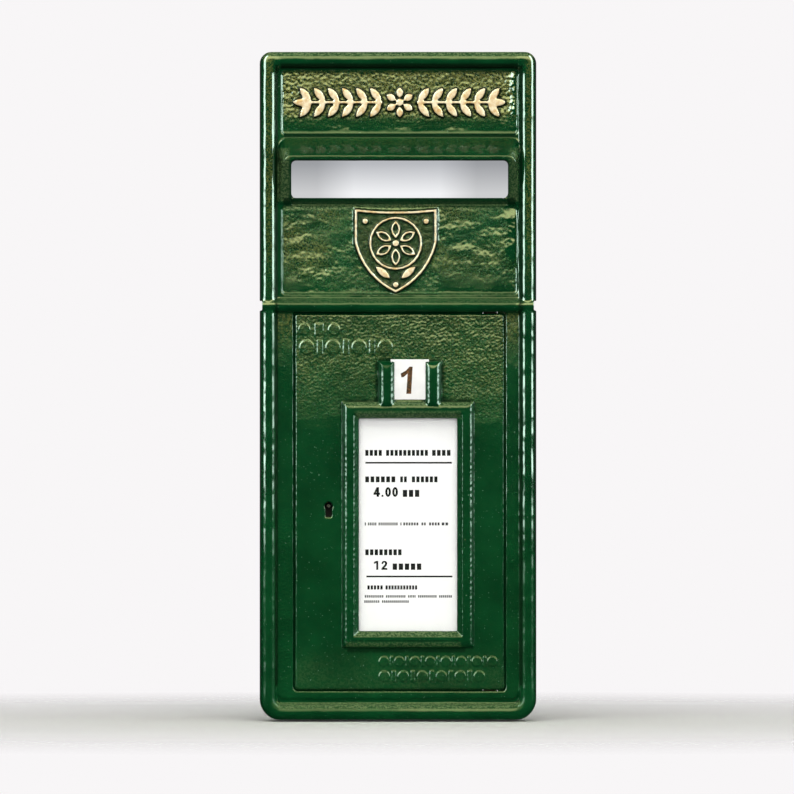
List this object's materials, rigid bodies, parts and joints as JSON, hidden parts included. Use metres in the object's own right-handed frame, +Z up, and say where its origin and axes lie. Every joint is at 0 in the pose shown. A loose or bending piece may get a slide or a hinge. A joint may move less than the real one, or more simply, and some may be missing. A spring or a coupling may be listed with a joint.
{
  "type": "cast iron post box front",
  "caption": "Cast iron front for a post box: rounded rim, hooded letter slot, relief panels and a hinged, locked collection door with a glazed notice frame",
  "frame": {"origin": "on the wall plane, in the middle of the four fixing bosses behind the corners", "axes": "+X right seen from the front, +Y into the wall, +Z up; the front faces -Y"},
  "size_m": [0.236, 0.0435, 0.57],
  "materials": {
    "front_enamel": "gloss",
    "door_enamel": "gloss",
    "tablet_enamel": "gloss",
    "seal_rubber": "matte",
    "window_clear": "gloss",
    "card_paper": "matte",
    "plate_zinc": "satin",
    "screw_steel": "satin",
    "pin_steel": "satin",
    "washer_brass": "satin",
    "lock_steel": "satin",
    "bolt_brass": "satin",
    "spring_steel": "satin"
  },
  "bodies": {
    "front": {"front_casting": "front_enamel", "upper_hinge_pin": "pin_steel", "lower_hinge_pin": "pin_steel", "lower_hinge_washer": "washer_brass"},
    "door": {"door_casting": "door_enamel", "number_tablet": "tablet_enamel", "window_seal": "seal_rubber", "notice_window": "window_clear", "notice_card": "card_paper", "notice_back_plate": "plate_zinc", "notice_plate_screws": "screw_steel", "upper_hinge_washer": "washer_brass", "lock_case": "lock_steel", "lock_cap": "lock_steel", "lock_back_spring": "spring_steel", "lock_key_pin": "pin_steel", "lock_guide_stud": "pin_steel", "lock_cap_screws": "screw_steel", "lock_fixing_screws": "screw_steel"},
    "bolt": {"lock_bolt": "bolt_brass"}
  },
  "joints": [
    {"name": "door_hinge", "type": "hinge", "parent": "front", "child": "door", "pos_m": [0.0784, -0.0148, -0.0983], "axis": [0, 0, 1], "range_deg": [0, 100]},
    {"name": "lock_bolt_slide", "type": "slide", "parent": "door", "child": "bolt", "axis": [-1, 0, 0], "range_m": [0, 0.008], "deforming": ["lock_back_spring"]}
  ]
}
